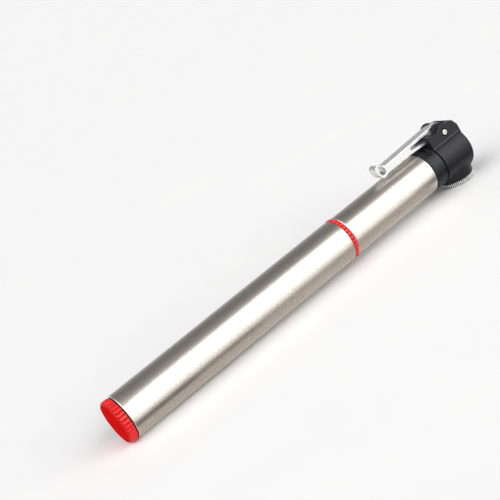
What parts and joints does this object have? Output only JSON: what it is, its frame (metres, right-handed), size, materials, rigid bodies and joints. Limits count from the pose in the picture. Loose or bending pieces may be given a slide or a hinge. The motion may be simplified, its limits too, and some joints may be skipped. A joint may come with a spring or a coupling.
{
  "type": "mini bicycle pump",
  "caption": "Slim hand pump for bicycle tyres: an alloy handle tube slides over the barrel, and a thumb lever locks the valve chuck in its head.",
  "frame": {"origin": "centre of the end cap's flat outer face, on the pump's axis", "axes": "+X along the pump's axis from the end cap to the head, +Z towards the thumb lever, so the valve chuck opens towards -Z"},
  "size_m": [0.2238, 0.023, 0.0343],
  "materials": {
    "satin_tube": "bead-blasted, champagne-silver satin anodised",
    "plain_tube": "drawn, plain anodised",
    "bright_alloy": "bright satin aluminium",
    "steel": "turned, nickel plated",
    "brass": "turned",
    "black_nylon": "moulded, fine satin texture",
    "red_plastic": "moulded, soft sheen",
    "acetal": "turned, natural",
    "black_rubber": "moulded nitrile"
  },
  "bodies": {
    "root": {"head_body": "black_nylon", "head_collar": "black_nylon", "grip_sleeve": "satin_tube", "barrel_tube": "plain_tube", "barrel_o_ring": "black_rubber", "barrel_gland": "black_nylon", "check_seat": "brass", "lever_pin": "steel"},
    "check_valve": {"check_ball": "steel", "check_spring": "steel"},
    "piston_unit": {"piston": "acetal", "piston_screw": "steel", "piston_rod": "steel"},
    "piston_seal": {"piston_o_ring": "black_rubber"},
    "handle": {"handle_tube": "satin_tube", "guide_ring": "red_plastic", "handle_plug": "black_nylon", "rod_anchor_screw": "steel", "end_bumper": "black_rubber"},
    "cap_carrier": {"cap_seal": "black_rubber"},
    "cap": {"end_cap": "red_plastic"},
    "lever": {"thumb_lever": "bright_alloy"},
    "plunger": {"clamp_plunger": "acetal", "plunger_o_ring": "black_rubber", "valve_depressor": "brass"},
    "gasket": {"valve_gasket": "black_rubber"},
    "nut": {"valve_nut": "bright_alloy"}
  },
  "joints": [
    {"name": "pump_stroke", "type": "slide", "parent": "root", "child": "piston_unit", "axis": [-1, 0, 0], "range_m": [0, 0.1035]},
    {"name": "handle_spin", "type": "hinge", "parent": "piston_unit", "child": "handle", "pos_m": [0.0712, 0, 0], "axis": [-1, 0, 0], "continuous": true},
    {"name": "piston_seal_float", "type": "slide", "parent": "piston_unit", "child": "piston_seal", "axis": [1, 0, 0], "range_m": [0, 0.0008]},
    {"name": "cap_turn", "type": "hinge", "parent": "cap_carrier", "child": "cap", "pos_m": [0.0019, 0, 0], "axis": [-1, 0, 0], "range_deg": [0, 1800]},
    {"name": "cap_travel", "type": "slide", "parent": "handle", "child": "cap_carrier", "axis": [-1, 0, 0], "range_m": [0, 0.0075]},
    {"name": "lever_flip", "type": "hinge", "parent": "root", "child": "lever", "pos_m": [0.2149, 0, 0.0126], "axis": [0, 1, 0], "range_deg": [0, 90]},
    {"name": "plunger_slide", "type": "slide", "parent": "root", "child": "plunger", "axis": [0, 0, -1], "range_m": [0, 0.002], "deforming": ["valve_gasket"]},
    {"name": "nut_turn", "type": "hinge", "parent": "gasket", "child": "nut", "pos_m": [0.2145, 0, -0.014], "axis": [0, 0, -1], "range_deg": [0, 1440]},
    {"name": "nut_travel", "type": "slide", "parent": "root", "child": "gasket", "axis": [0, 0, -1], "range_m": [0, 0.004]},
    {"name": "check_valve_lift", "type": "slide", "parent": "root", "child": "check_valve", "axis": [1, 0, 0], "range_m": [0, 0.0008], "stiffness_N_per_m": 60}
  ],
  "couplings": [
    {"joint": "lever_flip", "follows": "plunger_slide", "rad_per_m": 785.4},
    {"joint": "nut_turn", "follows": "nut_travel", "rad_per_m": 6283.2},
    {"joint": "cap_turn", "follows": "cap_travel", "rad_per_m": 4188.8}
  ]
}
